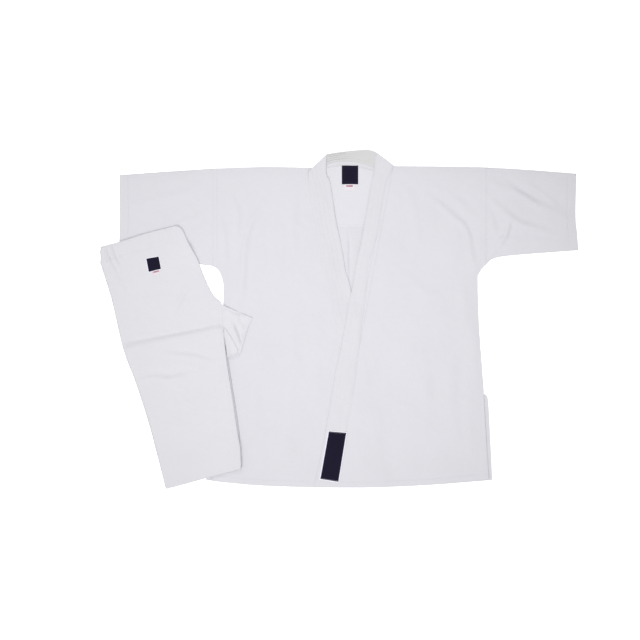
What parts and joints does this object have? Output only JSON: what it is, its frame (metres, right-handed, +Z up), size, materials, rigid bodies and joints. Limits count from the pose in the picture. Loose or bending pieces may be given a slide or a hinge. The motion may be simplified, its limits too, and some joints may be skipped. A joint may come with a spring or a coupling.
{
  "type": "martial arts uniform",
  "caption": "Short-sleeved wrap-front jacket with a banded lapel, laid flat beside folded loose trousers with the lower legs turned under.",
  "frame": {"origin": "centre of the laid-out uniform's box, on the surface it lies on", "axes": "+X towards the wearer's left sleeve, +Y towards the collar, +Z up from the surface"},
  "size_m": [1.126, 0.798, 0.0185],
  "materials": {
    "cotton": "matt bleached cotton canvas, plain weave",
    "trouser_cotton": "matt bleached cotton canvas, plain weave",
    "collar_cotton": "matt bleached cotton, several layers, rows of stitching",
    "lining": "matt thin cotton lining",
    "label_navy": "matt woven label, plain navy",
    "size_label": "smooth woven tape",
    "elastic": "knitted elastic tape"
  },
  "bodies": {
    "jacket": {"back_panel_left": "cotton", "back_panel_right": "cotton", "back_yoke_lining": "lining", "back_neck_collar": "collar_cotton", "neck_label": "label_navy", "neck_size_label": "size_label", "right_front_panel": "cotton", "right_lapel_band": "collar_cotton", "left_front_side_panel": "cotton", "left_lapel_band_upper": "collar_cotton", "left_shoulder_fold": "cotton", "right_shoulder_fold": "cotton", "left_side_seam": "cotton", "right_side_seam": "cotton"},
    "front_flap": {"left_front_flap": "cotton", "left_lapel_band": "collar_cotton", "hem_patch": "label_navy"},
    "left_sleeve": {"left_sleeve_back": "cotton", "left_sleeve_front": "cotton", "left_sleeve_top_fold": "cotton", "left_underarm_seam": "cotton"},
    "right_sleeve": {"right_sleeve_back": "cotton", "right_sleeve_front": "cotton", "right_sleeve_top_fold": "cotton", "right_underarm_seam": "cotton"},
    "trousers": {"left_leg_front": "trouser_cotton", "left_leg_back": "trouser_cotton", "right_leg_back": "trouser_cotton", "right_leg_front": "trouser_cotton", "crotch_gusset": "trouser_cotton", "waistband_left_half": "trouser_cotton", "waistband_right_half": "trouser_cotton", "waist_elastic_left": "elastic", "waist_elastic_right": "elastic", "trousers_label": "label_navy", "trousers_size_label": "size_label"},
    "lower_legs": {"right_lower_leg_front": "trouser_cotton", "right_lower_leg_back": "trouser_cotton", "left_lower_leg_back": "trouser_cotton", "left_lower_leg_front": "trouser_cotton"}
  },
  "joints": [
    {"name": "left_front_open", "type": "hinge", "parent": "jacket", "child": "front_flap", "pos_m": [0.133, -0.394, 0.0108], "axis": [-0.0597, 0.9982, 0], "range_deg": [0, 160]},
    {"name": "left_sleeve_fold", "type": "hinge", "parent": "jacket", "child": "left_sleeve", "pos_m": [0.346, 0.245, -0.0005], "axis": [0, 1, 0], "range_deg": [0, 170]},
    {"name": "right_sleeve_fold", "type": "hinge", "parent": "jacket", "child": "right_sleeve", "pos_m": [-0.299, 0.245, -0.0005], "axis": [0, -1, 0], "range_deg": [0, 170]},
    {"name": "trousers_lift", "type": "slide", "parent": "jacket", "child": "trousers", "axis": [0, 0, 1], "range_m": [0, 1.15]},
    {"name": "legs_unfold", "type": "hinge", "parent": "trousers", "child": "lower_legs", "pos_m": [-0.4097, -0.399, 0.0054], "axis": [-0.9652, -0.2582, -0.0413], "range_deg": [0, 178]}
  ],
  "couplings": [
    {"joint": "legs_unfold", "follows": "trousers_lift", "rad_per_m": 2.7}
  ]
}
